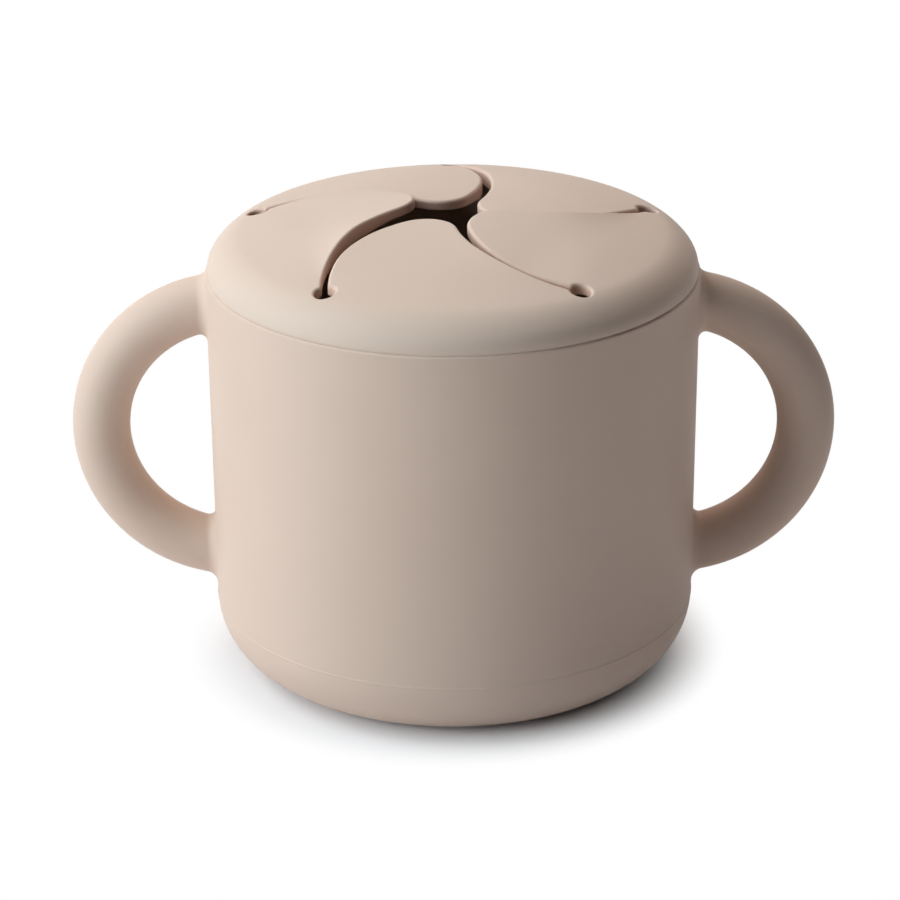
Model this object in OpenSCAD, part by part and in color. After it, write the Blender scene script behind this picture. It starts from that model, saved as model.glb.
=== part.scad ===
// Toddler snack container, all in soft silicone: a cup with two ring handles, and a
// push-in lid whose domed top is slit into five flaps that a small hand reaches through.
// The cup stands on z = 0 with its axis on Z, its handles lie along X, and its front
// looks along -Y. Each flap bends along the straight line between two slit-end holes:
// there it ends in a round knuckle that turns in a groove of the lid.

/* [Cup] */
// Height of the rim that the lid sits on
cup_h = 70.8; // [60:0.1:85]
// Outer radius at the rim
cup_r = 42; // [38:0.1:50]
// How much narrower the side is where it meets the base curve
cup_draft = 0.4; // [0:0.1:1.5]
// Radius of the curve between the side and the base
base_curve = 11.5; // [7:0.1:16]
// Thickness of the side wall
cup_wall = 2.6; // [2:0.1:4]
// Thickness of the floor
cup_floor = 3; // [2:0.1:5]
// Rounding of the rim's outer edge
rim_edge = 0.6; // [0.2:0.1:1]

/* [Handles] */
// Radius of the round grip
grip_r = 4.95; // [3.5:0.05:6.5]
// Radius of the ring that the grip follows, at its middle
ring_r = 23; // [17:0.1:26]
// How far the ring's middle lies inside the cup's side
ring_inset = 4.1; // [0:0.1:7]
// How far the ring's middle lies below the rim
ring_drop = 29.1; // [26:0.1:34]

/* [Lid] */
// Height of the dome's top above the rim
lid_h = 10.6; // [9.4:0.1:14]
// How far the lid's lower edge stands out past the rim
lid_overhang = 0.3; // [0:0.05:0.8]
// Radius of the rounded shoulder
shoulder_r = 8.9; // [6:0.1:11]
// How far the middle of the shoulder's curve lies below the rim
shoulder_drop = 2.6; // [0:0.1:4]
// Rounding of the lid's lower edge
lid_edge = 0.5; // [0.2:0.1:0.8]
// Thickness of the domed top and its flaps
top_t = 1.8; // [1.4:0.1:2.4]
// Depth of the plug below the rim
plug_depth = 9; // [6:0.1:14]
// Thickness of the plug's wall
plug_wall = 1.6; // [1.4:0.1:3]
// Gap between the plug's wall and the cup
plug_gap = 0.4; // [0.3:0.05:0.6]
// Gap between the plug's bead and the cup
bead_gap = 0.1; // [0.05:0.01:0.15]
// Radius of the bead's round section
bead_r = 0.9; // [0.6:0.1:1.4]
// Curve between the plug's inside and the underside of the top
inner_curve = 1.6; // [0.8:0.1:2.4]

/* [Slits and flaps] */
// Radius of the holes that end the slits
hole_r = 1.7; // [1.2:0.05:2.2]
// Distance from the plug's inside to each hole's middle
hole_inset = 2.2; // [1.5:0.1:4]
// Width of the slits
slit_w = 1; // [0.8:0.05:1.5]
// Radius of each slit's curve
slit_r = 25.8; // [22:0.1:30]
// How far each slit's curve passes clear of the lid's middle
slit_miss = 1.1; // [0:0.1:4]
// Rounding of the flaps' tips
tip_r = 5.9; // [3:0.1:8]
// Gap between each flap's knuckle and its groove
hinge_gap = 0.1; // [0.06:0.01:0.15]
// Farthest that a flap is pushed in, in degrees from its moulded place
push_in = 76; // [45:1:80]

/* [Where each flap rests, in degrees, up is positive] */
// Front flap
front_rest = -1; // [-6:0.5:8]
// Right flap
right_rest = 0.5; // [-6:0.5:8]
// Back right flap
back_right_rest = -2.5; // [-6:0.5:8]
// Back left flap
back_left_rest = -1; // [-6:0.5:8]
// Left flap
left_rest = 3; // [-6:0.5:8]

/* [Hidden] */

silicone = "#CDBFAF";
flap_silicone = "#D3C6B7";
flap_count = 5;
flap_step = 360 / flap_count;
$fn = 128;
dome_fn = 720;     // the dome's circle is large, so it takes more sides
reach = 300;       // longer than anything it cuts

// Cup
side_r = cup_r - cup_draft;
inner_r = cup_r - cup_wall;
inner_base_r = side_r - cup_wall;
inner_base_curve = base_curve - cup_wall;

// Handles
ring_x = cup_r - ring_inset;
ring_z = cup_h - ring_drop;

// Lid: the shoulder's circle and the dome's circle touch without a step
lid_r = cup_r + lid_overhang;
shoulder_x = lid_r - sqrt(pow(shoulder_r, 2) - pow(shoulder_drop, 2));
shoulder_z = cup_h - shoulder_drop;
top_z = cup_h + lid_h;
rise = top_z - shoulder_z;
dome_r = (pow(shoulder_x, 2) + pow(rise, 2) - pow(shoulder_r, 2)) / (2 * (rise - shoulder_r));
dome_z = top_z - dome_r;
dome_edge_x = shoulder_x * dome_r / (dome_r - shoulder_r);
under_r = dome_r - top_t;
plug_r = inner_r - plug_gap;
plug_in_r = plug_r - plug_wall;
plug_end = plug_wall / 2;
bead_z = cup_h - plug_depth / 2;
inner_curve_x = plug_in_r - inner_curve;
inner_curve_z = dome_z + sqrt(pow(under_r - inner_curve, 2) - pow(inner_curve_x, 2));
under_edge_x = inner_curve_x * under_r / (under_r - inner_curve);

// Holes and hinge lines: a hinge line joins two neighbouring holes
hole_circle = plug_in_r - hole_inset;
hinge_out = hole_circle * cos(flap_step / 2);
hinge_half = hole_circle * sin(flap_step / 2);
hinge_end_r = norm([hinge_out, hinge_half - hole_r]);
hinge_high = dome_height(hinge_out);
hinge_low = dome_height(hinge_end_r) - top_t;
hinge_z = (hinge_high + hinge_low) / 2;
knuckle_r = (hinge_high - hinge_low) / 2;
groove_r = knuckle_r + hinge_gap;
groove_w = 2 * hinge_half - hole_r;
relief_half = knuckle_r + hinge_gap / 2;
relief_reach = 4 * groove_r;

// Slits: circles through the holes, one on each side of a flap. The flap that looks
// along -Y lies inside the first circle and outside the second.
slit_far = slit_r + slit_miss;
slit_y = (pow(slit_r, 2) - pow(slit_far, 2) - pow(hole_circle, 2)) / (2 * hole_circle);
slit_x = sqrt(pow(slit_far, 2) - pow(slit_y, 2));
full_side = turned([slit_x, slit_y], -flap_step / 2);
cut_side = turned([slit_x, slit_y], flap_step / 2);
full_r = slit_r - slit_w / 2;
cut_r = slit_r + slit_w / 2;

// Middle of a flap's round tip, which touches both circles
between = norm(cut_side - full_side);
along = (pow(full_r - tip_r, 2) - pow(cut_r + tip_r, 2) + pow(between, 2)) / (2 * between);
across = sqrt(pow(full_r - tip_r, 2) - pow(along, 2));
ahead = (cut_side - full_side) / between;
tip = full_side + along * ahead + across * [-ahead[1], ahead[0]];
tip_to_full = bearing(tip - full_side);
tip_to_cut = bearing(cut_side - tip);
full_hole = [-hinge_half, -hinge_out];
cut_hole = [hinge_half, -hinge_out];
arc_steps = 18;

function bearing(v) = (atan2(v[1], v[0]) + 360) % 360;
function arc(middle, r, from, to) =
    [for (i = [0:arc_steps]) let (a = from + (to - from) * i / arc_steps)
        middle + r * [cos(a), sin(a)]];
function turned(p, a) = [p[0] * cos(a) - p[1] * sin(a), p[0] * sin(a) + p[1] * cos(a)];
function dome_height(r) = dome_z + sqrt(pow(dome_r, 2) - pow(r, 2));

// ---- Cup ----

// The right half of a tapered pot's outline: its rim radius, its radius above the
// base curve, that curve, and its lowest and highest points
module pot_outline(rim_r, low_r, curve, bottom, top) {
    translate([low_r - curve, bottom + curve])
        intersection() {
            circle(curve);
            translate([0, -curve]) square(curve);
        }
    polygon([[0, bottom], [low_r - curve, bottom], [low_r - curve, bottom + curve],
             [low_r, bottom + curve], [rim_r, top], [0, top]]);
}

module cup_outline() {
    pot_outline(cup_r, side_r, base_curve, 0, cup_h);
}

// What rounds the outer edge of a rim: the corner at (x, z), rounded by r, with the
// solid below it (up = 1) or above it (up = -1)
module edge_rounding(x, z, r, up) {
    difference() {
        translate([x - r, up > 0 ? z - r : z - 1]) square(r + 1);
        translate([x - r, z - up * r]) circle(r);
    }
}

module cup() {
    color(silicone)
        rotate_extrude()
            difference() {
                cup_outline();
                pot_outline(inner_r, inner_base_r, inner_base_curve, cup_floor, cup_h);
                translate([0, cup_h - 1]) square([inner_r, 2]);
                edge_rounding(cup_r, cup_h, rim_edge, 1);
            }
}

// ---- Handles ----

module handle() {
    color(silicone)
        difference() {
            translate([ring_x, 0, ring_z])
                rotate([90, 0, 0])
                    rotate_extrude()
                        translate([ring_r, 0]) circle(grip_r);
            rotate_extrude() cup_outline();
        }
}

// ---- Lid ----

// The lid's outside, above the rim
module lid_outline() {
    intersection() {
        translate([0, dome_z]) circle(dome_r, $fn = dome_fn);
        translate([0, cup_h]) square([dome_edge_x, reach]);
    }
    intersection() {
        translate([shoulder_x, shoulder_z]) circle(shoulder_r);
        translate([dome_edge_x, cup_h]) square(reach);
    }
}

// The hollow under the lid's top, down past the plug's end
module lid_hollow() {
    intersection() {
        translate([0, dome_z]) circle(under_r, $fn = dome_fn);
        translate([0, cup_h]) square([under_edge_x, reach]);
    }
    translate([inner_curve_x, inner_curve_z]) circle(inner_curve);
    translate([0, cup_h - 2 * plug_depth])
        square([plug_in_r, inner_curve_z - cup_h + 2 * plug_depth]);
}

// The plug's wall, with a round lower end and one bead that grips the cup
module plug_outline() {
    translate([plug_in_r, cup_h - plug_depth + plug_end])
        square([plug_wall, plug_depth - plug_end + rim_edge]);
    translate([plug_r - plug_end, cup_h - plug_depth + plug_end]) circle(plug_end);
    translate([inner_r - bead_gap - cup_draft * (cup_h - bead_z) / cup_h - bead_r, bead_z])
        circle(bead_r);
}

module flap_frame(direction) {
    rotate([0, 0, direction + 90]) children();
}

// What a flap needs free along its hinge line: the round groove, and room for its
// thickness when it is pushed all the way in
module hinge_room() {
    translate([0, -hinge_out, hinge_z]) {
        rotate([0, 90, 0]) cylinder(r = groove_r, h = groove_w, center = true);
        rotate([-push_in, 0, 0])
            translate([-groove_w / 2, 0, -relief_half])
                cube([groove_w, relief_reach, 2 * relief_half]);
    }
}

module holes() {
    for (i = [0:flap_count - 1])
        rotate([0, 0, i * flap_step + 90])
            translate([hole_circle, 0, cup_h]) cylinder(r = hole_r, h = 2 * lid_h);
}

module lid() {
    color(silicone)
        difference() {
            rotate_extrude()
                difference() {
                    union() {
                        lid_outline();
                        plug_outline();
                    }
                    lid_hollow();
                    edge_rounding(lid_r, cup_h, lid_edge, -1);
                }
            rotate([0, 0, 90])
                translate([0, 0, cup_h]) cylinder(r = hole_circle, h = 2 * lid_h, $fn = flap_count);
            holes();
            for (i = [0:flap_count - 1]) flap_frame(i * flap_step - 90) hinge_room();
        }
}

// ---- Flaps ----

// Outline of the flap that looks along -Y: from one hole up its full side, round its
// tip, down its cut side to the next hole, and along the back of its knuckle
module flap_outline() {
    back = [0, -knuckle_r];
    polygon(concat([full_hole + back],
                   arc(full_side, full_r, bearing(full_hole - full_side), tip_to_full),
                   arc(tip, tip_r, tip_to_full, tip_to_cut),
                   arc(cut_side, cut_r, tip_to_cut + 180, bearing(cut_hole - cut_side)),
                   [cut_hole + back]));
}

// The domed sheet that the flaps are cut from
module top_sheet() {
    rotate_extrude()
        intersection() {
            difference() {
                translate([0, dome_z]) circle(dome_r, $fn = dome_fn);
                translate([0, dome_z]) circle(under_r, $fn = dome_fn);
            }
            translate([0, cup_h]) square([dome_edge_x, reach]);
        }
}

module flap(direction, rest) {
    color(flap_silicone)
        flap_frame(direction)
            translate([0, -hinge_out, hinge_z])
                rotate([rest, 0, 0])
                    translate([0, hinge_out, -hinge_z])
                        difference() {
                            intersection() {
                                top_sheet();
                                translate([0, 0, cup_h])
                                    linear_extrude(2 * lid_h) flap_outline();
                                union() {
                                    translate([-reach / 2, -hinge_out, 0]) cube(reach);
                                    translate([0, -hinge_out, hinge_z])
                                        rotate([0, 90, 0])
                                            cylinder(r = knuckle_r, h = reach, center = true);
                                }
                            }
                            holes();
                        }
}

cup();
mirror([1, 0, 0]) handle();  // left_handle
handle();  // right_handle
lid();
flap(-90, front_rest);  // front_flap
flap(-90 + flap_step, right_rest);  // right_flap
flap(-90 + 2 * flap_step, back_right_rest);  // back_right_flap
flap(-90 + 3 * flap_step, back_left_rest);  // back_left_flap
flap(-90 + 4 * flap_step, left_rest);  // left_flap
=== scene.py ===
"""Toddler snack container: a silicone cup with two ring handles, and a push-in
silicone lid whose domed top is slit into five flaps.

Lengths in this file are millimetres until skin_mesh() turns them into metres.
The cup stands on z = 0, its handles lie along X and its front looks along -Y.
"""

import math

import bpy
import numpy as np
from mathutils import Euler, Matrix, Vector, kdtree
from mathutils.geometry import delaunay_2d_cdt

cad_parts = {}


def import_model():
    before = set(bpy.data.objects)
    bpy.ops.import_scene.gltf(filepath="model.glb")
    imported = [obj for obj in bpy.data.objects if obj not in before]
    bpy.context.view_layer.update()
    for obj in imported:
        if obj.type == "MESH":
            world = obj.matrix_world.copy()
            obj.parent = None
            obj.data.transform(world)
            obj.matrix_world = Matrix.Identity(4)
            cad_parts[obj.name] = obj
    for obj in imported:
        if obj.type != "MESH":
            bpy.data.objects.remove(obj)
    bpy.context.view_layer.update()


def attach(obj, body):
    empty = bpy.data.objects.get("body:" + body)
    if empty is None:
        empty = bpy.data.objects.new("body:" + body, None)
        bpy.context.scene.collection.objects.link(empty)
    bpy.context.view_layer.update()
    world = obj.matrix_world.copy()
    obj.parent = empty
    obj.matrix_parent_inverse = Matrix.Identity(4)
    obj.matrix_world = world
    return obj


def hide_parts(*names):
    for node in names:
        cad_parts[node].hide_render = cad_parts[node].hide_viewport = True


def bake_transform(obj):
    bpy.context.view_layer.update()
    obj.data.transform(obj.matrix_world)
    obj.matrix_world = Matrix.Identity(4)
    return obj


MM = 0.001

# ---- Sizes, in millimetres, with angles in degrees ----

# Cup: its radius at the rim and where the side meets the base curve, its walls, and the
# rounding of the rim's two edges
CUP_H = 70.8
CUP_R = 42.0
SIDE_R = 41.6
BASE_CURVE = 11.5
CUP_WALL = 2.6
CUP_FLOOR = 3.0
RIM_EDGE = 0.5
RIM_INNER_EDGE = 0.4

# The mould's parting line: a low ridge where the side meets the base curve, and the
# height above it at which the plain side starts
PARTING_HIGH = 0.07
PARTING_HALF = 0.3
PARTING_ROOM = 0.45

# The plain side: how much it leans, and where it starts and ends
SIDE_LEAN = (CUP_R - SIDE_R) / (CUP_H - BASE_CURVE)
SIDE_LOW = BASE_CURVE + PARTING_ROOM
SIDE_HIGH = CUP_H - RIM_EDGE

# Handles: a round grip that follows a ring, the ring's middle, and the fillet at the
# roots, which is trimmed on top of the upper one
GRIP_R = 4.95
RING_R = 23.0
RING_X = 37.9
RING_Z = 41.7
ROOT_FILLET = 1.75
ROOT_TRIM = 0.95
ROOT_TRIM_POWER = 5

# Where along the ring its surface can meet the cup's side, and the halvings that find it
ROOT_NEAR, ROOT_FAR = 50.0, 115.0
HALVINGS = 40

# How far along its ends a cubic curve is drawn out to pass for a quarter circle
QUARTER = 0.5523

# Lid: the middles and radii of the shoulder and of the dome that runs into it at
# DOME_EDGE, and the thickness of the domed sheet
SHOULDER_R = 8.9
SHOULDER_X = 33.7882
SHOULDER_Z = 68.2
DOME_R = 143.799
DOME_Z = -62.3995
DOME_EDGE = 36.0174
TOP_T = 1.8
UNDER_R = DOME_R - TOP_T

# The sheet is thicker between the flaps' tips and the slit-end holes, most of all halfway
# along the slits: by how much, and over which radii it thickens and thins again
PAD = 0.8
PAD_STARTS, PAD_FULL = 8.0, 19.0
PAD_FALLS, PAD_ENDS = 25.0, 33.0

# The lid's lower edge: its rounding, how far it is drawn in, and over what height
LID_EDGE = 0.06
TUCK = 0.62
TUCK_HIGH = 3.2

# Plug, with a low round bead on its outside
PLUG_R = 39.0
PLUG_WALL = 1.6
PLUG_IN_R = PLUG_R - PLUG_WALL
PLUG_BOTTOM = 61.8
PLUG_ROOT = 0.25
BEAD_Z = 66.3
BEAD_HIGH = 0.275
BEAD_HALF = 1.0

# The curve between the plug's inside and the sheet's underside, which it meets at
# UNDER_EDGE
INNER_CURVE = 1.6
INNER_CURVE_X = PLUG_IN_R - INNER_CURVE
INNER_CURVE_Z = DOME_Z + math.sqrt((UNDER_R - INNER_CURVE) ** 2 - INNER_CURVE_X**2)
UNDER_EDGE = INNER_CURVE_X * UNDER_R / (UNDER_R - INNER_CURVE)

# How far out the slit sheet reaches, where the spun surfaces take over
TOP_REGION_R = 38.2
UNDER_REGION_R = 37.3

# Slits and flaps, for the flap that looks along -Y. A flap's full side bulges out and its
# cut side is hollow, and both follow circles of SLIT_R
FLAP_COUNT = 5
FLAP_STEP = 72
HOLE_R = 1.7
HOLE_CIRCLE = 35.2
HINGE_OUT = HOLE_CIRCLE * math.cos(math.radians(FLAP_STEP / 2))
HINGE_HALF = HOLE_CIRCLE * math.sin(math.radians(FLAP_STEP / 2))
HINGE_Z = 77.009
SLIT_R = 25.8
SLIT_MISS = 1.1
SLIT_W = 1.0
FULL_R = SLIT_R - SLIT_W / 2
CUT_R = SLIT_R + SLIT_W / 2
TIP_R = 5.9
LEFT_HOLE = np.array([-HINGE_HALF, -HINGE_OUT])
RIGHT_HOLE = np.array([HINGE_HALF, -HINGE_OUT])
CORNER_R = 0.7

# Rounding of the cut edges on top and underneath
TOP_ROUND = 0.6
UNDER_ROUND = 0.2

# Where on the cut side's circle a flap ends and the lid goes on
SEAM_TURN = 247.05

# The walls of the slits and holes lie within this radius and above this height, and
# count as walls more and more as their normal's upright part falls from CUT_LEAN to
# CUT_SPAN below it. The lid's material paints its warm glow on these walls
CUT_WITHIN = 37.0
CUT_ABOVE = 73.0
CUT_LEAN = 0.97
CUT_SPAN = 0.6

# Each flap's direction in degrees, and how it rests against its moulded place: raised
# and twisted in degrees, its sides curled up, and its tip slid sideways and inwards in mm
FLAPS = {
    "front_flap": (-90, -0.5, 2.3, 0.43, -0.07, -0.24),
    "right_flap": (-18, 1.1, 5.8, 0.54, 0.15, -0.26),
    "back_right_flap": (54, -2.1, -2.0, -0.21, -0.54, 0.1),
    "back_left_flap": (126, -0.3, 2.0, 0.21, 0.77, 0.11),
    "left_flap": (198, 3.1, 8.6, 1.08, -0.85, -0.47),
}

# The distance from the hinge line at which the resting shape has its whole bend, the
# distance from the flap's middle line at which the curl reaches its value above, and the
# distance from the hinge line at which the slide does
REST_BEND = 12.0
CURL_AT = 12.0
SLIDE_AT = 18.0

# ---- Mesh fineness ----

# Counts of steps
AROUND = 288
HANDLE_COLUMNS = 9
WALL_ROWS = 44
GRIP_SIDES = 72
GRIP_STEPS = 84
FILLET_ROWS = 10
EDGE_STEPS = 6
SEAM_STEPS = 34

# Spacing of the points along the parts of a cut edge, in mm
HOLE_SPACING = 0.25
CORNER_SPACING = 0.12
SIDE_SPACING = 0.5
TIP_SPACING = 0.35
LID_SIDE_SPACING = 0.3

# Points inside an area: how clear of its edges they stay, how far apart they are round a
# circle, and the radii of those circles
WALL_GAP = 0.55
SHEET_GAP = 0.25
RING_SPACING = 0.9
TOP_RINGS = np.r_[np.arange(28.9, 36.0, 0.7), DOME_EDGE, np.arange(36.4, 38.1, 0.35)]
UNDER_RINGS = np.r_[np.arange(28.9, 35.9, 0.7), UNDER_EDGE, 36.5, 36.8, 37.05]
FLAP_COLUMNS = np.arange(-24, 22, 0.9)
FLAP_ROWS = np.arange(-28.05, 0, 0.75)

# Points closer than this are one point, and normals shorter than this are none
WELD = 0.001
NO_LENGTH = 1e-9

# Points of an area closer than this would count as one when it is cut into triangles
SAME_POINT = 1e-6


# ---- Skins: points, normals and faces that are welded into one closed mesh ----


class Skin:
    """Patches of one piece's surface. Each patch brings its points, their outward
    normals and its faces, and points that patches share are welded."""

    def __init__(self):
        self.points = []
        self.normals = []
        self.faces = []
        self.count = 0

    def add(self, points, normals, faces, facing=None):
        """Adds a patch. facing is the outward direction of a flat patch whose
        points take their normals from its neighbours."""
        points = np.asarray(points, float).reshape(-1, 3)
        if facing is None:
            normals = np.asarray(normals, float).reshape(-1, 3)
        else:
            normals = np.zeros_like(points)
        for face in faces:
            ring = points[list(face)]
            across = newell(ring)
            outward = facing if facing is not None else normals[list(face)].sum(0)
            turned = face if np.dot(across, outward) >= 0 else face[::-1]
            self.faces.append([self.count + i for i in turned])
        self.points.append(points)
        self.normals.append(normals)
        self.count += len(points)

    def grid(self, points, normals, closed=False):
        """Adds a patch of rows by columns; closed joins the last column to the first."""
        rows, columns = points.shape[:2]
        last = columns if closed else columns - 1
        faces = []
        for i in range(rows - 1):
            for j in range(last):
                k = (j + 1) % columns
                faces.append(
                    [
                        i * columns + j,
                        i * columns + k,
                        (i + 1) * columns + k,
                        (i + 1) * columns + j,
                    ]
                )
        self.add(points, normals, faces)

    def welded(self):
        """All points, normals and faces, with the points closer than 1 micron as one."""
        points = np.concatenate(self.points)
        normals = np.concatenate(self.normals)
        tree = kdtree.KDTree(len(points))
        for i, p in enumerate(points):
            tree.insert(p, i)
        tree.balance()
        first = np.arange(len(points))
        for i, p in enumerate(points):
            if first[i] == i:
                for _, j, _ in tree.find_range(p, WELD):
                    if j > i and first[j] == j:
                        first[j] = i
        kept, place = np.unique(first, return_inverse=True)
        total = np.zeros((len(kept), 3))
        np.add.at(total, place, normals)
        length = np.linalg.norm(total, axis=1, keepdims=True)
        total = np.where(length > NO_LENGTH, total / np.maximum(length, NO_LENGTH), 0)
        faces = []
        for face in self.faces:
            ring = [int(place[i]) for i in face]
            ring = [v for i, v in enumerate(ring) if v != ring[i - 1]]
            if len(set(ring)) >= 3:
                faces.append(ring)
        return points[kept], total, faces


def newell(ring):
    """The area normal of a polygon."""
    return np.cross(ring, np.roll(ring, -1, axis=0)).sum(0)


def cut_share(points, normals):
    """1 on the upright walls of the lid's slits and holes, 0 elsewhere: the mask of the painted
    warm glow.
    """
    upright = np.clip((CUT_LEAN - np.abs(normals[:, 2])) / CUT_SPAN, 0, 1)
    within = np.hypot(points[:, 0], points[:, 1]) < CUT_WITHIN
    above = points[:, 2] > CUT_ABOVE
    return upright * (within & above)


def skin_mesh(name, skin, material, slit=False):
    """Makes a smooth mesh object of a skin, in metres, with the skin's own normals. slit
    marks the walls of the slits and holes, where the lid's material paints a warm glow
    that stands in for light scattered through the silicone."""
    points, normals, faces = skin.welded()
    mesh = bpy.data.meshes.new(name)
    mesh.from_pydata((points * MM).tolist(), [], faces)
    mesh.polygons.foreach_set("use_smooth", [True] * len(mesh.polygons))
    mesh.normals_split_custom_set_from_vertices(normals.tolist())
    if slit:
        walls = mesh.attributes.new("painted_glow_walls", "FLOAT", "POINT")
        walls.data.foreach_set("value", cut_share(points, normals))
    mesh.materials.append(material)
    mesh.update()
    piece = bpy.data.objects.new(name, mesh)
    bpy.context.scene.collection.objects.link(piece)
    return piece


# ---- Profiles: rows of r, z and the normal's two parts ----


def bow(middle_r, middle_z, radius, start, end, steps, side=1):
    """An arc of a profile. side is -1 where the solid lies outside the arc."""
    a = np.radians(np.linspace(start, end, steps + 1))
    c, s = np.cos(a), np.sin(a)
    return np.c_[middle_r + radius * c, middle_z + radius * s, side * c, side * s]


def straight(start, end, steps):
    """A straight stretch of a profile. Its normal is to the right of its way."""
    start, end = np.array(start, float), np.array(end, float)
    way = (end - start) / np.linalg.norm(end - start)
    t = np.linspace(0, 1, steps + 1)[:, None]
    normal = np.array([way[1], -way[0]])
    return np.c_[start + (end - start) * t, np.repeat(normal[None], steps + 1, 0)]


def with_ridge(profile, at, high, half):
    """Raises a low round ridge on a profile, where its length passes the height at."""
    step = np.linalg.norm(np.diff(profile[:, :2], axis=0), axis=1)
    along = np.r_[0, np.cumsum(step)]
    middle = np.interp(at, profile[:, 1], along)
    u = np.clip((along - middle) / half, -1, 1)
    rise = high * (1 + np.cos(math.pi * u)) / 2
    slope = -high * math.pi / (2 * half) * np.sin(math.pi * u)
    n = profile[:, 2:]
    way = np.c_[-n[:, 1], n[:, 0]]
    turned = n - slope[:, None] * way
    turned /= np.linalg.norm(turned, axis=1, keepdims=True)
    return np.c_[profile[:, :2] + n * rise[:, None], turned]


def spin(skin, profile, around):
    """Adds the surface that a profile sweeps round the Z axis."""
    c, s = np.cos(around), np.sin(around)
    r, z, nr, nz = (profile[:, i][:, None] for i in range(4))
    flat = np.ones_like(c)
    points = np.stack([r * c, r * s, z * flat], -1)
    normals = np.stack([nr * c, nr * s, nz * flat], -1)
    skin.grid(points, normals, closed=len(around) == AROUND)


def full_circle():
    """The angles of a whole turn."""
    return np.arange(AROUND) * 2 * math.pi / AROUND


# ---- Plan areas ----


def inside(points, loops):
    """Which points lie inside an odd number of closed loops."""
    x, y = points[:, 0], points[:, 1]
    odd = np.zeros(len(points), bool)
    for loop in loops:
        for a, b in zip(loop, np.roll(loop, -1, axis=0)):
            crosses = (a[1] > y) != (b[1] > y)
            if a[1] != b[1]:
                at = a[0] + (y - a[1]) * (b[0] - a[0]) / (b[1] - a[1])
                odd ^= crosses & (x < at)
    return odd


def clear_of(points, loops, gap):
    """Which points lie farther than gap from every point of the loops."""
    rim = np.concatenate(loops)
    tree = kdtree.KDTree(len(rim))
    for i, p in enumerate(rim):
        tree.insert((p[0], p[1], 0), i)
    tree.balance()
    return np.array([tree.find((p[0], p[1], 0))[2] > gap for p in points], bool)


def fill(loops, seeds, gap):
    """Points and triangles of the area between closed loops. The seeds that lie in it
    and clear of its edges become points of it."""
    seeds = seeds[inside(seeds, loops)]
    seeds = seeds[clear_of(seeds, loops, gap)]
    points = np.concatenate([*loops, seeds])
    edges = []
    start = 0
    for loop in loops:
        n = len(loop)
        edges += [(start + i, start + (i + 1) % n) for i in range(n)]
        start += n
    made = delaunay_2d_cdt([Vector(p) for p in points], edges, [], 0, SAME_POINT, True)
    source = [ids[0] for ids in made[3]]
    triangles = np.array([[source[i] for i in t] for t in made[2]])
    kept = inside(points[triangles].mean(1), loops)
    return points, triangles[kept].tolist()


# ---- Cup ----


def side_radius(z):
    """Outer radius of the cup's slightly tapered side."""
    return SIDE_R + (CUP_R - SIDE_R) * (z - BASE_CURVE) / (CUP_H - BASE_CURVE)


def base_profile():
    """The underside, the curve up to the side, and the mould's parting line."""
    low = straight((0, 0), (SIDE_R - BASE_CURVE, 0), steps=6)
    curve = bow(SIDE_R - BASE_CURVE, BASE_CURVE, BASE_CURVE, -90, -4, steps=28)
    last = bow(SIDE_R - BASE_CURVE, BASE_CURVE, BASE_CURVE, -4, 0, steps=14)
    start = (side_radius(BASE_CURVE), BASE_CURVE)
    wall = straight(start, (side_radius(SIDE_LOW), SIDE_LOW), steps=10)
    profile = np.vstack([low, curve, last, wall[1:]])
    return with_ridge(profile, BASE_CURVE, PARTING_HIGH, PARTING_HALF)


def rim_and_inside_profile():
    """From the rim's outer edge over the rim, down the inside and over the floor."""
    inner_r = CUP_R - CUP_WALL
    low_r = SIDE_R - CUP_WALL
    curve = BASE_CURVE - CUP_WALL
    flat_r = side_radius(SIDE_HIGH) - RIM_EDGE
    outer = bow(flat_r, SIDE_HIGH, RIM_EDGE, 0, 90, steps=8)
    edge_r = inner_r + RIM_INNER_EDGE
    top = straight((flat_r, CUP_H), (edge_r, CUP_H), steps=3)
    inner = bow(edge_r, CUP_H - RIM_INNER_EDGE, RIM_INNER_EDGE, 90, 180, steps=6)
    wall = straight((inner_r, CUP_H - RIM_INNER_EDGE), (low_r, CUP_FLOOR + curve), steps=12)
    bend = bow(low_r - curve, CUP_FLOOR + curve, curve, 0, -90, steps=18, side=-1)
    floor = straight((low_r - curve, CUP_FLOOR), (0, CUP_FLOOR), steps=6)
    wall[:, 2:] = [-1, 0]
    floor[:, 2:] = [0, 1]
    return np.vstack([outer, top, inner, wall, bend, floor])


def grip_point(turn, round_grip):
    """A point and normal of the ring handle: turn goes along the ring, round_grip
    round its section. Angles in radians."""
    reach = RING_R + GRIP_R * np.cos(round_grip)
    c, s = np.cos(turn), np.sin(turn)
    side = GRIP_R * np.sin(round_grip)
    point = np.stack([RING_X + reach * c, side, RING_Z + reach * s], -1)
    cg = np.cos(round_grip)
    normal = np.stack([cg * c, np.sin(round_grip) * np.ones_like(c), cg * s], -1)
    return point, normal


def turn_at(gap, round_grip, upper):
    """How far along the ring the grip's surface is a gap away from the cup's side."""
    low = np.full_like(round_grip, np.radians(ROOT_NEAR))
    high = np.full_like(round_grip, np.radians(ROOT_FAR))
    for _ in range(HALVINGS):
        middle = (low + high) / 2
        point, _ = grip_point(middle * upper, round_grip)
        out = np.hypot(point[:, 0], point[:, 1]) - side_radius(point[:, 2])
        low = np.where(out > gap, middle, low)
        high = np.where(out > gap, high, middle)
    return (low + high) / 2 * upper


def on_side(spread, z):
    """The point of the cup's side at an arc length from its +X line, and its normal."""
    a = spread / CUP_R
    r = side_radius(z)
    point = np.stack([r * np.cos(a), r * np.sin(a), z], -1)
    normal = np.stack([np.cos(a), np.sin(a), np.full_like(a, -SIDE_LEAN)], -1)
    return point, normal / math.hypot(1, SIDE_LEAN)


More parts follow.
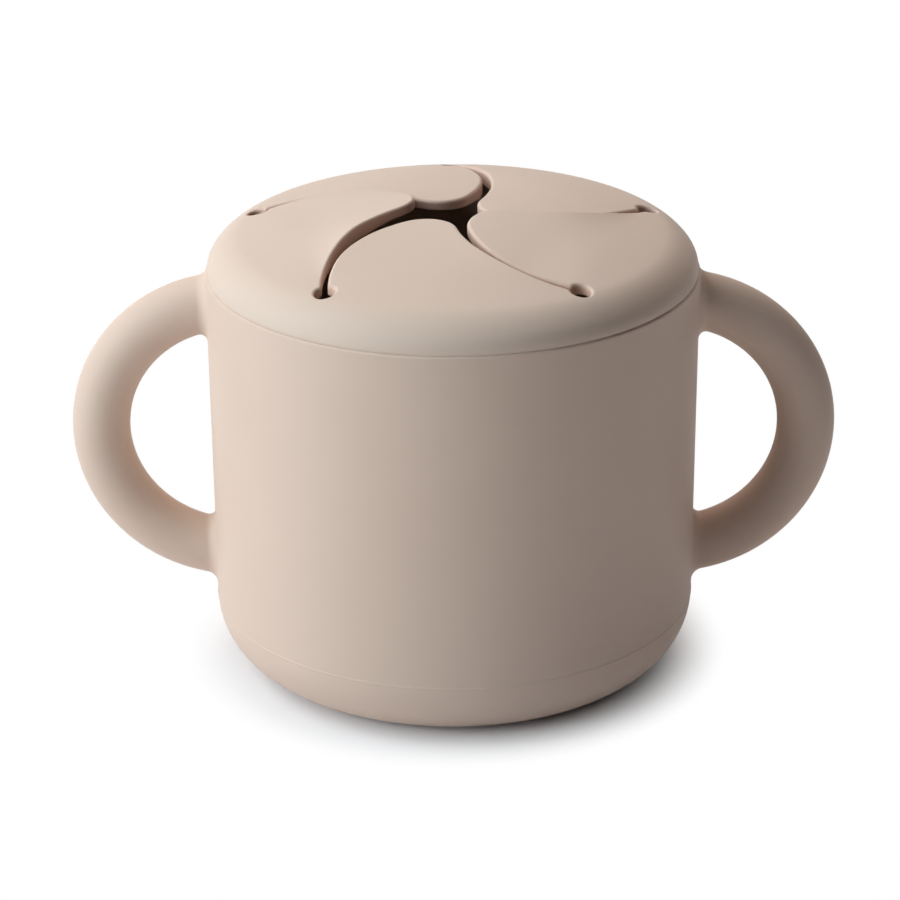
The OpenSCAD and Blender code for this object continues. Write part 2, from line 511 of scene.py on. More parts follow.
def footprint(meet, upper):
    """Where the fillet of a root ends on the cup's side, as arc length and height, round
    the line on which the grip would meet the side without it."""
    spread = CUP_R * np.arctan2(meet[:, 1], meet[:, 0])
    line = np.c_[spread, meet[:, 2]]
    way = np.roll(line, -1, axis=0) - np.roll(line, 1, axis=0)
    away = np.c_[way[:, 1], -way[:, 0]] / np.linalg.norm(way, axis=1, keepdims=True)
    middle = line.mean(0)
    away *= np.sign(((line - middle) * away).sum(1))[:, None]
    high = np.clip(away[:, 1], 0, 1) if upper > 0 else np.zeros(len(meet))
    reach = ROOT_FILLET - ROOT_TRIM * high**ROOT_TRIM_POWER
    return line + away * reach[:, None]


def fillet(meet, a, a_normal, b, b_normal):
    """Grid of points and normals that flows from the points a on the cup's side to the
    points b on the grip, tangent to both. meet is the line that it rounds."""
    start = meet - a
    start -= a_normal * (start * a_normal).sum(1)[:, None]
    end = b - meet
    end -= b_normal * (end * b_normal).sum(1)[:, None]
    t = np.linspace(0, 1, FILLET_ROWS + 1)[:, None, None]
    b1, b2 = a + QUARTER * start, b - QUARTER * end
    s = 1 - t
    points = s**3 * a + 3 * s**2 * t * b1 + 3 * s * t**2 * b2 + t**3 * b
    along = s**2 * (b1 - a) + 2 * s * t * (b2 - b1) + t**2 * (b - b2)
    across = np.roll(points, -1, axis=1) - np.roll(points, 1, axis=1)
    normals = np.cross(along, across)
    normals /= np.linalg.norm(normals, axis=2, keepdims=True)
    normals *= np.sign((normals[-1] * b_normal).sum(1).mean())
    normals[0], normals[-1] = a_normal, b_normal
    return points, normals


def round_the_grip():
    """The angles round the grip's section."""
    return np.arange(GRIP_SIDES) * 2 * math.pi / GRIP_SIDES


def root(upper):
    """One root of the handle on +X, where its grip flows into the cup's side: its
    footprint, and the fillet's grid of points and normals. upper is 1 or -1."""
    g = round_the_grip()
    meet, _ = grip_point(turn_at(0.0, g, upper), g)
    foot = footprint(meet, upper)
    a, a_normal = on_side(foot[:, 0], foot[:, 1])
    b, b_normal = grip_point(turn_at(ROOT_FILLET, g, upper), g)
    return foot, *fillet(meet, a, a_normal, b, b_normal)


def handle_zone(skin, mirrored):
    """The strip of the cup's side that carries a handle, with the handle and its roots."""
    sign = -1 if mirrored else 1
    flip = np.array([sign, 1, 1])
    step = 2 * math.pi / AROUND
    columns = np.arange(-HANDLE_COLUMNS, HANDLE_COLUMNS + 1) * step * CUP_R
    rows = np.linspace(SIDE_LOW, SIDE_HIGH, WALL_ROWS + 1)
    edge = [(columns[0], z) for z in rows]
    edge += [(s, rows[-1]) for s in columns[1:]]
    edge += [(columns[-1], z) for z in rows[::-1][1:]]
    edge += [(s, rows[0]) for s in columns[::-1][1:-1]]
    seeds = np.array([(s, z) for s in columns[1:-1] for z in rows[1:-1]])
    upper = root(1)
    lower = root(-1)
    flat, triangles = fill([np.array(edge), upper[0], lower[0]], seeds, WALL_GAP)
    points, normals = on_side(flat[:, 0], flat[:, 1])
    skin.add(points * flip, normals * flip, triangles)
    for _, points, normals in (upper, lower):
        skin.grid(points * flip, normals * flip, closed=True)
    g = round_the_grip()
    top = turn_at(ROOT_FILLET, g, 1)
    bottom = turn_at(ROOT_FILLET, g, -1)
    t = np.linspace(0, 1, GRIP_STEPS + 1)[:, None]
    points, normals = grip_point(top + (bottom - top) * t, g[None] + 0 * t)
    skin.grid(points * flip, normals * flip, closed=True)


def plain_side(skin):
    """The cup's side between the handle zones."""
    z = np.linspace(SIDE_LOW, SIDE_HIGH, WALL_ROWS + 1)
    lean = math.hypot(1, SIDE_LEAN)
    level, up = np.full_like(z, 1 / lean), np.full_like(z, -SIDE_LEAN / lean)
    wall = np.c_[side_radius(z), z, level, up]
    step = 2 * math.pi / AROUND
    half = AROUND // 2
    quiet = np.arange(HANDLE_COLUMNS, half - HANDLE_COLUMNS + 1) * step
    spin(skin, wall, quiet)
    spin(skin, wall, quiet + math.pi)


def cup(material):
    """The cup and its two handles, moulded as one."""
    skin = Skin()
    spin(skin, base_profile(), full_circle())
    spin(skin, rim_and_inside_profile(), full_circle())
    plain_side(skin)
    handle_zone(skin, False)
    handle_zone(skin, True)
    return skin_mesh("cup_with_handles", skin, material)


# ---- The lid's domed sheet ----


def top_height(r):
    """Height of the lid's outside over a radius."""
    dome = DOME_Z + np.sqrt(DOME_R**2 - np.minimum(r, DOME_EDGE) ** 2)
    out = np.clip(r - SHOULDER_X, 0, SHOULDER_R)
    shoulder = SHOULDER_Z + np.sqrt(SHOULDER_R**2 - out**2)
    return np.where(r < DOME_EDGE, dome, shoulder)


def eased(r, start, end):
    """A soft step from 0 to 1 over a radius, and its slope."""
    u = np.clip((r - start) / (end - start), 0, 1)
    return u**2 * (3 - 2 * u), 6 * u * (1 - u) / (end - start)


def pad(r):
    """How far the underside stands down between the flaps' thin tips and the thin sheet
    round the holes, and how fast that grows over a radius."""
    rise, rise_slope = eased(r, PAD_STARTS, PAD_FULL)
    fall, fall_slope = eased(r, PAD_FALLS, PAD_ENDS)
    return PAD * (rise - fall), PAD * (rise_slope - fall_slope)


def under_height(r):
    """Height of the underside over a radius."""
    dome = DOME_Z + np.sqrt(UNDER_R**2 - np.minimum(r, UNDER_EDGE) ** 2)
    out = np.clip(r - INNER_CURVE_X, 0, INNER_CURVE)
    curve = INNER_CURVE_Z + np.sqrt(INNER_CURVE**2 - out**2)
    return np.where(r < UNDER_EDGE, dome, curve) - pad(r)[0]


def sheet_normal(plan, slope_r, slope_z):
    """Normals from their parts along the radius and up."""
    r = np.maximum(np.linalg.norm(plan, axis=-1), NO_LENGTH)
    return np.stack([slope_r * plan[..., 0] / r, slope_r * plan[..., 1] / r, slope_z], -1)


def on_top(plan):
    """Points and normals of the lid's outside over plan points."""
    r = np.linalg.norm(plan, axis=-1)
    z = top_height(r)
    slope_r = np.where(r < DOME_EDGE, r / DOME_R, (r - SHOULDER_X) / SHOULDER_R)
    slope_z = np.sqrt(1 - slope_r**2)
    return np.concatenate([plan, z[..., None]], -1), sheet_normal(plan, slope_r, slope_z)


def on_underside(plan):
    """Points and normals of the underside over plan points."""
    r = np.linalg.norm(plan, axis=-1)
    z = under_height(r)
    slope_r = np.where(r < UNDER_EDGE, r / UNDER_R, (r - INNER_CURVE_X) / INNER_CURVE)
    slope_z = np.sqrt(1 - np.clip(slope_r, 0, 1) ** 2)
    slope_r = slope_r + slope_z * pad(r)[1]
    size = np.hypot(slope_r, slope_z)
    normals = -sheet_normal(plan, slope_r / size, slope_z / size)
    return np.concatenate([plan, z[..., None]], -1), normals


# ---- Slit edges ----


def bearing(v):
    """Direction of a plan vector, in degrees from 0 to 360."""
    return math.degrees(math.atan2(v[1], v[0])) % 360


def corner_middle(hole, to_hole, side, to_side, other):
    """Middle of the circle that rounds the corner between two circles of the edge."""
    across = side - hole
    length = np.linalg.norm(across)
    ahead = across / length
    along = (to_hole**2 - to_side**2 + length**2) / (2 * length)
    off = math.sqrt(to_hole**2 - along**2) * other
    return hole + along * ahead + off * np.array([-ahead[1], ahead[0]])


def edge_arc(middle, radius, start, end, outward, spacing):
    """Plan points along an arc of the cut edge, and their normals out of the sheet.
    outward is 1 where the sheet lies inside the circle and -1 where it lies outside."""
    length = abs(math.radians(end - start)) * radius
    steps = max(3, int(math.ceil(length / spacing)))
    a = np.radians(np.linspace(start, end, steps + 1))
    way = np.c_[np.cos(a), np.sin(a)]
    return middle + radius * way, way * outward


def joined(arcs):
    """Arcs end to end, without their double points."""
    points = [arcs[0][0]] + [p[1:] for p, _ in arcs[1:]]
    normals = [arcs[0][1]] + [n[1:] for _, n in arcs[1:]]
    return np.concatenate(points), np.concatenate(normals)


def slit_middle(turn):
    """Middle of the circle that a slit follows, turned about the axis."""
    far = SLIT_R + SLIT_MISS
    y = (SLIT_R**2 - far**2 - HOLE_CIRCLE**2) / (2 * HOLE_CIRCLE)
    x = math.sqrt(far**2 - y**2)
    a = math.radians(turn)
    return np.array([x * math.cos(a) - y * math.sin(a), x * math.sin(a) + y * math.cos(a)])


FULL_SIDE = slit_middle(-FLAP_STEP / 2)
CUT_SIDE = slit_middle(FLAP_STEP / 2)
TIP = corner_middle(FULL_SIDE, FULL_R - TIP_R, CUT_SIDE, CUT_R + TIP_R, 1)
FULL_CORNER = corner_middle(LEFT_HOLE, HOLE_R + CORNER_R, FULL_SIDE, FULL_R - CORNER_R, 1)
CUT_CORNER = corner_middle(RIGHT_HOLE, HOLE_R + CORNER_R, CUT_SIDE, CUT_R + CORNER_R, 1)
TIP_TO_FULL = bearing(TIP - FULL_SIDE)
TIP_TO_CUT = bearing(CUT_SIDE - TIP)


def flap_edge():
    """The free edge of the front flap: from its left hole up its full side, round its
    tip and down its cut side."""
    turn_in = bearing(FULL_CORNER - LEFT_HOLE)
    to_full = bearing(FULL_CORNER - FULL_SIDE)
    turn_out = bearing(LEFT_HOLE - FULL_CORNER)
    return joined(
        [
            edge_arc(LEFT_HOLE, HOLE_R, 0, turn_in, -1, HOLE_SPACING),
            edge_arc(FULL_CORNER, CORNER_R, turn_out, to_full, 1, CORNER_SPACING),
            edge_arc(FULL_SIDE, FULL_R, to_full, TIP_TO_FULL, 1, SIDE_SPACING),
            edge_arc(TIP, TIP_R, TIP_TO_FULL, TIP_TO_CUT, 1, TIP_SPACING),
            edge_arc(CUT_SIDE, CUT_R, TIP_TO_CUT + 180, SEAM_TURN, -1, SIDE_SPACING),
        ]
    )


def lid_edge():
    """The lid's own cut edge beside the front flap's right hole: the last of the cut
    side, the corner, and the hole round to the next flap."""
    to_corner = bearing(CUT_CORNER - CUT_SIDE)
    leave = bearing(CUT_SIDE - CUT_CORNER)
    turn_out = bearing(RIGHT_HOLE - CUT_CORNER)
    turn_in = bearing(CUT_CORNER - RIGHT_HOLE)
    return joined(
        [
            edge_arc(CUT_SIDE, CUT_R, SEAM_TURN, to_corner, -1, LID_SIDE_SPACING),
            edge_arc(CUT_CORNER, CORNER_R, leave, turn_out, 1, CORNER_SPACING),
            edge_arc(RIGHT_HOLE, HOLE_R, turn_in, 360 + FLAP_STEP, -1, HOLE_SPACING),
        ]
    )


def edge_rows(plan, out):
    """The rounded cut edge of the sheet, from its outside down to its underside: grids
    of points and normals, one row for each step of the rounding."""
    points = []
    normals = []
    flat = np.c_[out, np.zeros(len(out))]
    for a in np.radians(np.linspace(0, 90, EDGE_STEPS + 1)):
        p, n = on_top(plan - out * TOP_ROUND * (1 - math.sin(a)))
        p[:, 2] -= TOP_ROUND * (1 - math.cos(a))
        points.append(p)
        normals.append(n * math.cos(a) + flat * math.sin(a))
    for a in np.radians(np.linspace(90, 0, EDGE_STEPS // 2 + 1)):
        p, n = on_underside(plan - out * UNDER_ROUND * (1 - math.sin(a)))
        p[:, 2] += UNDER_ROUND * (1 - math.cos(a))
        points.append(p)
        normals.append(n * math.cos(a) + flat * math.sin(a))
    normals = np.array(normals)
    return np.array(points), normals / np.linalg.norm(normals, axis=2, keepdims=True)


def seam_corner():
    """Where the seam leaves the hinge line for the cut side."""
    a = math.radians(SEAM_TURN)
    way = np.array([math.cos(a), math.sin(a)])
    reach = (-HINGE_OUT - CUT_SIDE[1]) / way[1]
    return CUT_SIDE + way * reach


def seam(inset):
    """Plan points of the seam between a flap and the lid, along the hinge line."""
    start = LEFT_HOLE + [HOLE_R + inset, 0]
    t = np.linspace(0, 1, SEAM_STEPS + 1)[:, None]
    return start + (seam_corner() - start) * t


def seam_walls(skin, rows, last_rows, facing, turn, shaped):
    """The walls where a flap and the lid are one piece of silicone: rows is the edge at
    the hole, last_rows the edge at the cut side. facing is 1 for the flap."""
    top, _ = on_top(seam(TOP_ROUND))
    under, _ = on_underside(seam(UNDER_ROUND))
    n = len(top)
    points = np.concatenate([top, under])
    quads = [[i, i + 1, n + i + 1, n + i] for i in range(n - 1)]
    outward = turn(np.array([[0, -facing, 0.0]]))[0]
    skin.add(turn(shaped(points)), None, quads, outward)
    skin.add(turn(shaped(rows)), None, [list(range(len(rows)))], outward)
    end = np.concatenate([top[-1:], last_rows, under[-1:]])
    a = math.radians(SEAM_TURN)
    side = np.array([[math.sin(a), -math.cos(a), 0.0]])
    skin.add(turn(shaped(end)), None, [list(range(len(end)))], turn(side * -facing)[0])


def turner(degrees):
    """A function that turns points or normals of the front flap's frame about Z."""
    a = math.radians(degrees)
    c, s = math.cos(a), math.sin(a)
    matrix = np.array([[c, s, 0], [-s, c, 0], [0, 0, 1]])
    return lambda points: np.asarray(points, float) @ matrix


def unbent(points):
    """Leaves points where they are."""
    return points


# ---- Lid ----


def tucked_in(profile):
    """Draws the lid's lowest part in, so that it doesn't shade the cup's rim."""
    u = np.clip((CUP_H + TUCK_HIGH - profile[:, 1]) / TUCK_HIGH, 0, 1)
    r = profile[:, 0] - TUCK * u**2
    nz = profile[:, 3] - profile[:, 2] * 2 * TUCK * u / TUCK_HIGH
    size = np.hypot(profile[:, 2], nz)
    return np.c_[r, profile[:, 1], profile[:, 2] / size, nz / size]


def shoulder_profile():
    """From the slit sheet's edge over the shoulder and round the lid's lower edge."""
    at = math.degrees(math.acos((TOP_REGION_R - SHOULDER_X) / SHOULDER_R))
    edge_z = CUP_H + LID_EDGE
    edge_x = SHOULDER_X + math.sqrt((SHOULDER_R - LID_EDGE) ** 2 - (edge_z - SHOULDER_Z) ** 2)
    low = math.degrees(math.atan2(edge_z - SHOULDER_Z, edge_x - SHOULDER_X))
    shoulder = bow(SHOULDER_X, SHOULDER_Z, SHOULDER_R, at, low, steps=26)
    edge = bow(edge_x, edge_z, LID_EDGE, low, -90, steps=8)
    return np.vstack([tucked_in(shoulder), tucked_in(edge)])


def plug_wall_profile():
    """Down the plug's outside, over its bead."""
    wall = straight((PLUG_R, CUP_H - PLUG_ROOT), (PLUG_R, PLUG_BOTTOM + PLUG_WALL / 2), steps=60)
    wall[:, 2:] = [1, 0]
    u = np.clip((wall[:, 1] - BEAD_Z) / BEAD_HALF, -1, 1)
    wall[:, 0] += BEAD_HIGH * (1 + np.cos(math.pi * u)) / 2
    slope = -BEAD_HIGH * math.pi / (2 * BEAD_HALF) * np.sin(math.pi * u)
    wall[:, 2:] = np.c_[np.ones_like(slope), -slope] / np.hypot(1, slope)[:, None]
    return wall


def lid_outside_profile():
    """From the slit sheet's edge over the shoulder to the seat, then down the plug's
    outside, round its end and up its inside."""
    shoulder = shoulder_profile()
    seat = straight((shoulder[-1, 0], CUP_H), (PLUG_R + PLUG_ROOT, CUP_H), steps=4)
    seat[:, 2:] = [0, -1]
    corner = bow(PLUG_R + PLUG_ROOT, CUP_H - PLUG_ROOT, PLUG_ROOT, 90, 180, steps=5, side=-1)
    end = PLUG_WALL / 2
    tip = bow(PLUG_R - end, PLUG_BOTTOM + end, end, 0, -180, steps=14)
    inside_wall = straight((PLUG_IN_R, PLUG_BOTTOM + end), (PLUG_IN_R, INNER_CURVE_Z), steps=8)
    inside_wall[:, 2:] = [-1, 0]
    stop = math.degrees(math.acos((UNDER_REGION_R - INNER_CURVE_X) / INNER_CURVE))
    curve = bow(INNER_CURVE_X, INNER_CURVE_Z, INNER_CURVE, 0, stop, steps=8, side=-1)
    return np.vstack([shoulder, seat, corner, plug_wall_profile(), tip, inside_wall, curve])


def rings(radii):
    """Plan points on circles about the axis."""
    points = []
    for i, r in enumerate(radii):
        n = int(round(2 * math.pi * r / RING_SPACING))
        a = (np.arange(n) + 0.5 * (i % 2)) * 2 * math.pi / n
        points.append(np.c_[r * np.cos(a), r * np.sin(a)])
    return np.concatenate(points)


def lid_area(skin, row, inset, region_r, place, radii):
    """The lid's part of the sheet's outside or underside: all round the five flaps."""
    loop = np.concatenate([seam(inset), row[:-1, :2]])
    inner = []
    for k in range(FLAP_COUNT):
        flat = np.c_[loop, np.zeros(len(loop))]
        inner.append(turner(k * FLAP_STEP)(flat)[:, :2])
    around = full_circle()
    outer = region_r * np.c_[np.cos(around), np.sin(around)]
    plan, triangles = fill([outer, np.concatenate(inner)], rings(radii), SHEET_GAP)
    points, normals = place(plan)
    skin.add(points, normals, triangles)


def lid(material):
    """The lid without its flaps: shoulder, plug, and the top outside the hinge lines."""
    skin = Skin()
    spin(skin, lid_outside_profile(), full_circle())
    edge, edge_normals = edge_rows(*lid_edge())
    far_edge, _ = edge_rows(*flap_edge())
    for k in range(FLAP_COUNT):
        turn = turner(k * FLAP_STEP)
        skin.grid(turn(edge), turn(edge_normals))
        seam_walls(skin, far_edge[:, 0], edge[:, 0], -1, turn, unbent)
    lid_area(skin, edge[0], TOP_ROUND, TOP_REGION_R, on_top, TOP_RINGS)
    lid_area(skin, edge[-1], UNDER_ROUND, UNDER_REGION_R, on_underside, UNDER_RINGS)
    return skin_mesh("lid_ring_and_plug", skin, material, slit=True)


# ---- Flaps ----


def bend(points, raised, twisted, curled, sideways, inwards):
    """Bends moulded flap points into the shape that the soft flap rests in. The bend
    grows over the first millimetres from the hinge line."""
    x, y, z = np.moveaxis(np.asarray(points, float), -1, 0)
    out = y + HINGE_OUT
    high = z - HINGE_Z
    t = np.clip(out / REST_BEND, 0, 1)
    weight = t * t * (3 - 2 * t)
    a = math.radians(raised) * weight
    lift = math.radians(twisted) * x + curled * (x / CURL_AT) ** 2
    slide = np.maximum(out / SLIDE_AT, 0) ** 2
    return np.stack(
        [
            x + sideways * slide,
            out * np.cos(a) - high * np.sin(a) + inwards * slide - HINGE_OUT,
            out * np.sin(a) + high * np.cos(a) + lift * weight + HINGE_Z,
        ],
        -1,
    )


def bent(points, normals, rest):
    """Bent points with their normals, which turn with the points' surroundings."""
    step = 1e-4
    ways = []
    for k in range(3):
        move = np.zeros(3)
        move[k] = step
        ways.append((bend(points + move, *rest) - bend(points - move, *rest)) / (2 * step))
    slope = np.stack(ways, -1).reshape(-1, 3, 3)
    carried = np.linalg.inv(slope).transpose(0, 2, 1) @ normals.reshape(-1, 3)[..., None]
    carried = carried[..., 0]
    carried /= np.linalg.norm(carried, axis=1, keepdims=True)
    return bend(points, *rest), carried.reshape(normals.shape)


def flap_seeds():
    """Plan points all over the front flap."""
    x, y = np.meshgrid(FLAP_COLUMNS, FLAP_ROWS)
    return np.c_[x.ravel(), y.ravel()]


def flap(name, direction, rest, material):
    """One flap, as a thick sheet with rounded edges, bent to where it rests."""
    skin = Skin()
    turn = turner(direction + 90)

    def shaped(points):
        return bend(points, *rest)

    edge, edge_normals = edge_rows(*flap_edge())
    points, normals = bent(edge, edge_normals, rest)
    skin.grid(turn(points), turn(normals))
    top_side = (edge[0], TOP_ROUND, on_top)
    underside = (edge[-1], UNDER_ROUND, on_underside)
    for row, inset, place in (top_side, underside):
        loop = np.concatenate([row[:, :2], seam(inset)[::-1][:-1]])
        plan, triangles = fill([loop], flap_seeds(), SHEET_GAP)
        points, normals = bent(*place(plan), rest)
        skin.add(turn(points), turn(normals), triangles)
    seam_walls(skin, edge[:, 0], edge[:, -1], 1, turn, shaped)
    return skin_mesh("sheet_" + name, skin, material, slit=True)


# ---- Materials ----


def linear(hex_colour):
    """Turns an sRGB hex colour into linear RGBA."""
    parts = [int(hex_colour[i : i + 2], 16) / 255 for i in (1, 3, 5)]
    rgb = [c / 12.92 if c <= 0.04045 else ((c + 0.055) / 1.055) ** 2.4 for c in parts]
    return (*rgb, 1)


def add_node(tree, kind, settings=None, values=None, links=None):
    """Adds a node, with its settings, its sockets' values and the links into it."""
    node = tree.nodes.new(kind)
    for key, value in (settings or {}).items():
        setattr(node, key, value)
    for key, value in (values or {}).items():
        node.inputs[key].default_value = value
    for key, source in (links or {}).items():
        tree.links.new(source, node.inputs[key])
    return node


def new_material(name):
    """A material with an empty node tree and its output node."""
    material = bpy.data.materials.new(name)
    material.use_nodes = True
    tree = material.node_tree
    tree.nodes.clear()
    return material, tree


def cloudy_pigment(tree, place, pale, deep):
    """Two close shades of pigment, in clouds about 18 mm across."""
    clouds = add_node(
        tree,
        "ShaderNodeTexNoise",
        values={"Scale": 1 / (18 * MM), "Detail": 2.0, "Roughness": 0.5},
        links={"Vector": place},
    )
    shades = add_node(
        tree,
        "ShaderNodeMix",
        settings={"data_type": "RGBA"},
        values={"A": linear(deep), "B": linear(pale)},
        links={"Factor": clouds.outputs[0]},
    )
    return shades.outputs["Result"]


def painted_glow_at_cuts(tree, colour, painted_glow_colour):
    """Paints the walls of the slits a warmer colour: a painted glow that stands in for light
    scattered through the silicone.
    """
    cut = add_node(tree, "ShaderNodeAttribute", settings={"attribute_name": "painted_glow_walls"})
    glow_painted = add_node(
        tree,
        "ShaderNodeMix",
        settings={"data_type": "RGBA"},
        values={"B": linear(painted_glow_colour)},
        links={"Factor": cut.outputs["Fac"], "A": colour},
    )
    return glow_painted.outputs["Result"]


def blasted_grain(tree, place):
    """The fine grain that a blasted mould leaves, over the slow waviness of a soft wall.
    The grain is really about 0.1 mm and is drawn at 0.45 mm so that it shows; the waves
    are about 14 mm long."""
    waves = add_node(
        tree,
        "ShaderNodeTexNoise",
        values={"Scale": 1 / (14 * MM), "Detail": 0.0},
        links={"Vector": place},
    )
    grain = add_node(
        tree,
        "ShaderNodeTexNoise",
        values={"Scale": 1 / (0.45 * MM), "Detail": 1.0, "Roughness": 0.5},
        links={"Vector": place},
    )
    soft = add_node(
        tree,
        "ShaderNodeBump",
        values={"Strength": 0.25, "Distance": 0.05 * MM},
        links={"Height": waves.outputs[0]},
    )
    bump = add_node(
        tree,
        "ShaderNodeBump",
        values={"Strength": 0.35, "Distance": 0.02 * MM},
        links={"Height": grain.outputs[0], "Normal": soft.outputs[0]},
    )
    return bump.outputs["Normal"]


def handled_gloss(tree, place):
    """Roughness of a skin that handling polishes unevenly, in patches about 9 mm across."""
    patches = add_node(
        tree,
        "ShaderNodeTexNoise",
        values={"Scale": 1 / (9 * MM), "Detail": 3.0, "Roughness": 0.6},
        links={"Vector": place},
    )
    gloss = add_node(
        tree,
        "ShaderNodeMapRange",
        values={"From Min": 0.3, "From Max": 0.7, "To Min": 0.54, "To Max": 0.62},
        links={"Value": patches.outputs[0]},
    )
    return gloss.outputs["Result"]


def moulded_silicone(name, pale, deep, painted_glow_colour=None):
    """Platinum-cured silicone, compression moulded in a blasted steel mould: soft,
    opaque and matt, with a broad weak gloss, a fine even grain and a faintly cloudy
    pigment. Its last argument, for a piece with slits, is a warmer colour painted on their
    walls: a painted glow that stands in for light scattered through the silicone."""
    material, tree = new_material(name)
    place = add_node(tree, "ShaderNodeTexCoord").outputs["Object"]
    colour = cloudy_pigment(tree, place, pale, deep)
    if painted_glow_colour:
        # Painted glow on the slit walls, for light scattered through the silicone
        colour = painted_glow_at_cuts(tree, colour, painted_glow_colour)
    shader = add_node(
        tree,
        "ShaderNodeBsdfPrincipled",
        values={"IOR": 1.41, "Specular IOR Level": 0.3, "Metallic": 0.0},
        links={
            "Base Color": colour,
            "Roughness": handled_gloss(tree, place),
            "Normal": blasted_grain(tree, place),
        },
    )
    add_node(tree, "ShaderNodeOutputMaterial", links={"Surface": shader.outputs["BSDF"]})
    return material


def seen_directly(tree):
    """1 for rays of the camera, of reflections and of clear parts, 0 for light."""
    path = add_node(tree, "ShaderNodeLightPath")
    mirrored = add_node(
        tree,
        "ShaderNodeMath",
        settings={"operation": "MAXIMUM"},
        links={0: path.outputs["Is Camera Ray"], 1: path.outputs["Is Glossy Ray"]},
    )
    seen = add_node(
        tree,
        "ShaderNodeMath",
        settings={"operation": "MAXIMUM"},
        links={0: mirrored.outputs[0], 1: path.outputs["Is Transmission Ray"]},
    )
    return seen.outputs[0]


def white_floor():
    """Matt white paper: it shows as plain white and keeps the shadow at the cup's foot."""
    material, tree = new_material("matt_white_paper")
    place = add_node(tree, "ShaderNodeTexCoord").outputs["Object"]
    away = add_node(
        tree,
        "ShaderNodeVectorMath",
        settings={"operation": "LENGTH"},
        links={0: place},
    )
    fade = add_node(
        tree,
        "ShaderNodeMapRange",
        settings={"interpolation_type": "SMOOTHSTEP"},
        values={"From Min": SHADOW_FULL * MM, "From Max": SHADOW_END * MM},
        links={"Value": away.outputs["Value"]},
    )
    share = add_node(
        tree,
        "ShaderNodeMath",
        settings={"operation": "MULTIPLY"},
        links={0: fade.outputs["Result"], 1: seen_directly(tree)},
    )
    paper = add_node(
        tree,
        "ShaderNodeBsdfDiffuse",
        values={"Color": linear("#F4F2F4"), "Roughness": 0.5},
    )
    plain = add_node(tree, "ShaderNodeEmission", values={"Strength": 1.0})
    mixed = add_node(
        tree,
        "ShaderNodeMixShader",
        links={0: share.outputs[0], 1: paper.outputs[0], 2: plain.outputs[0]},
    )
    add_node(tree, "ShaderNodeOutputMaterial", links={"Surface": mixed.outputs[0]})
    return material


# ---- Stage ----

# The camera looks at a point on the cup's axis, 40 mm up, from 600 mm away. Its rise and
# roll are degrees, its sensor and lens millimetres
LOOK_AT = Vector((0, 0, 40)) * MM
CAMERA_AWAY = 600 * MM
CAMERA_RISE = 23.02
CAMERA_ROLL = -0.36
SENSOR = 36.0
LENS = 138.47
SHIFT = (-0.0041, -0.0193)

# The lamps' distance in metres, and for each lamp the degrees that it stands round from
# the front towards +X, the degrees up, its size in metres, its watts and its colour
LAMP_AWAY = 1.2
LAMPS = {
    "low_left_lamp": (-65, 20, 0.7, 9.8, "#F1FBFF"),
    "high_left_lamp": (-90, 50, 0.7, 8.1, "#F1FBFF"),
    "high_back_lamp": (180, 55, 1.0, 6.9, "#FFEADD"),
}

# The floor shows its shading as far out as this from the axis, then fades to plain
# white. It reaches 3 m to each side.
SHADOW_FULL = 33.5
SHADOW_END = 48.5
FLOOR_HALF = 3000


def camera():
    """The camera at the front, a little above the rim."""
    data = bpy.data.cameras.new("camera")
    data.sensor_width = SENSOR
    data.lens = LENS
    data.shift_x, data.shift_y = SHIFT
    data.clip_start, data.clip_end = 0.05, 10
    eye = bpy.data.objects.new("camera", data)
    rise = math.radians(CAMERA_RISE)
    eye.location = LOOK_AT + CAMERA_AWAY * Vector((0, -math.cos(rise), math.sin(rise)))
    aim = (LOOK_AT - eye.location).to_track_quat("-Z", "Y")
    roll = Euler((0, 0, math.radians(CAMERA_ROLL))).to_quaternion()
    eye.rotation_euler = (aim @ roll).to_euler()
    bpy.context.scene.collection.objects.link(eye)
    bpy.context.scene.camera = eye


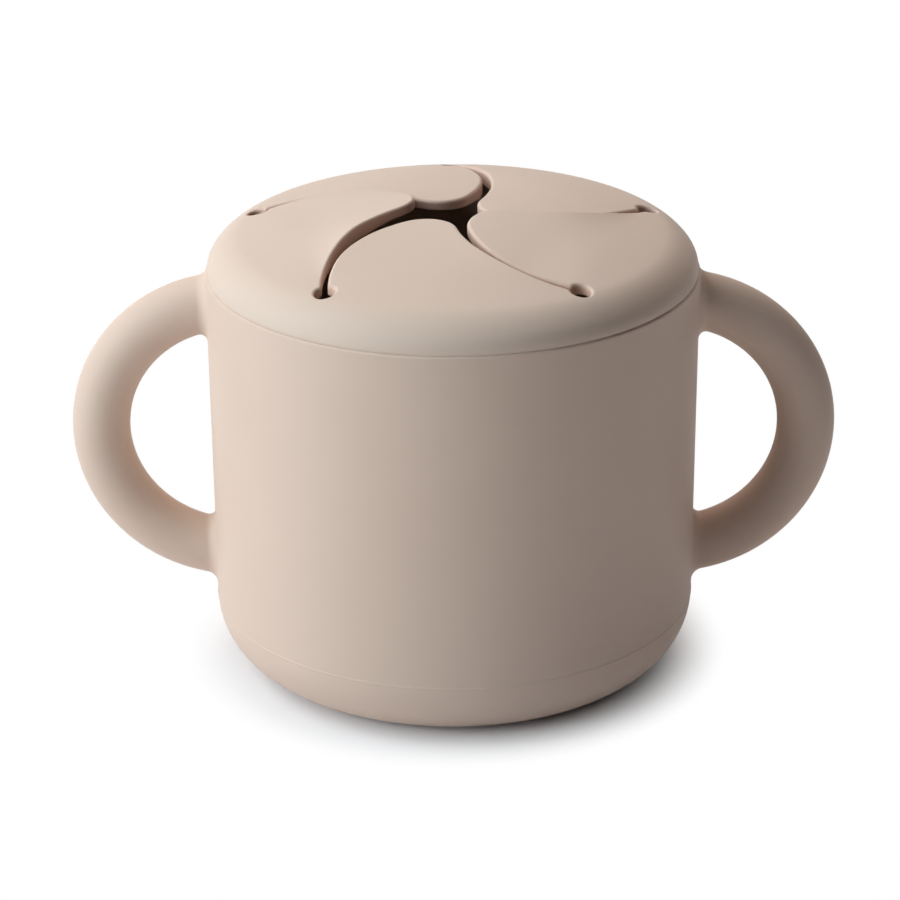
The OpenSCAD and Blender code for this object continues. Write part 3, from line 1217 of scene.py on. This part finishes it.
def lamp(name, place, aim, size, watts, colour):
    """A square soft lamp that looks at a point. Lengths in metres."""
    data = bpy.data.lights.new(name, "AREA")
    data.shape = "SQUARE"
    data.size = size
    data.energy = watts
    data.color = linear(colour)[:3]
    light = bpy.data.objects.new(name, data)
    light.location = place
    light.rotation_euler = (Vector(aim) - Vector(place)).to_track_quat("-Z", "Y").to_euler()
    bpy.context.scene.collection.objects.link(light)


def world():
    """A white surround that the camera, reflections and clear parts see, and that
    lights nothing matt."""
    surround = bpy.data.worlds.new("white_surround")
    bpy.context.scene.world = surround
    surround.use_nodes = True
    tree = surround.node_tree
    tree.nodes.clear()
    back = add_node(
        tree,
        "ShaderNodeBackground",
        values={"Color": (1, 1, 1, 1)},
        links={"Strength": seen_directly(tree)},
    )
    add_node(tree, "ShaderNodeOutputWorld", links={"Surface": back.outputs[0]})


def floor(material):
    """The white floor."""
    mesh = bpy.data.meshes.new("floor")
    half = FLOOR_HALF * MM
    square = [(-half, -half, 0), (half, -half, 0), (half, half, 0), (-half, half, 0)]
    mesh.from_pydata(square, [], [(0, 1, 2, 3)])
    mesh.materials.append(material)
    ground = bpy.data.objects.new("floor", mesh)
    bpy.context.scene.collection.objects.link(ground)


def lights():
    """Two cool soft lamps on the left, and a warm one high behind."""
    for name, (turn, rise, size, watts, colour) in LAMPS.items():
        a, e = math.radians(turn), math.radians(rise)
        way = Vector((math.sin(a) * math.cos(e), -math.cos(a) * math.cos(e), math.sin(e)))
        lamp(name, LOOK_AT + way * LAMP_AWAY, LOOK_AT, size, watts, colour)


# ---- The part ----


def build():
    """Makes each piece, puts the cup and the lid on their bodies, and hides the imported parts
    that the pieces replace.
    """
    # The lid's two shades are a touch paler and less pink than the cup's: painted light,
    # matching the lid's brightly lit top
    cup_silicone = moulded_silicone("moulded_silicone_cup", "#D7C2B3", "#D2BCAD")
    # The lid's last colour is the painted warm glow on its slit walls, standing in for light
    # scattered through the silicone
    lid_silicone = moulded_silicone("moulded_silicone_lid", "#D7C5B7", "#D2BFB1", "#DDBFAF")
    piece = cup(cup_silicone)
    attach(piece, "cup_body")
    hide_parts("cup", "left_handle", "right_handle")
    piece = lid(lid_silicone)
    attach(piece, "lid_body")
    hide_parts("lid")
    for name, (direction, *rest) in FLAPS.items():
        piece = flap(name, direction, rest, lid_silicone)
        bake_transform(piece)
        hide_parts(name)


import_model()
bpy.context.scene.view_settings.view_transform = "Standard"
camera()
build()
floor(white_floor())
lights()
world()
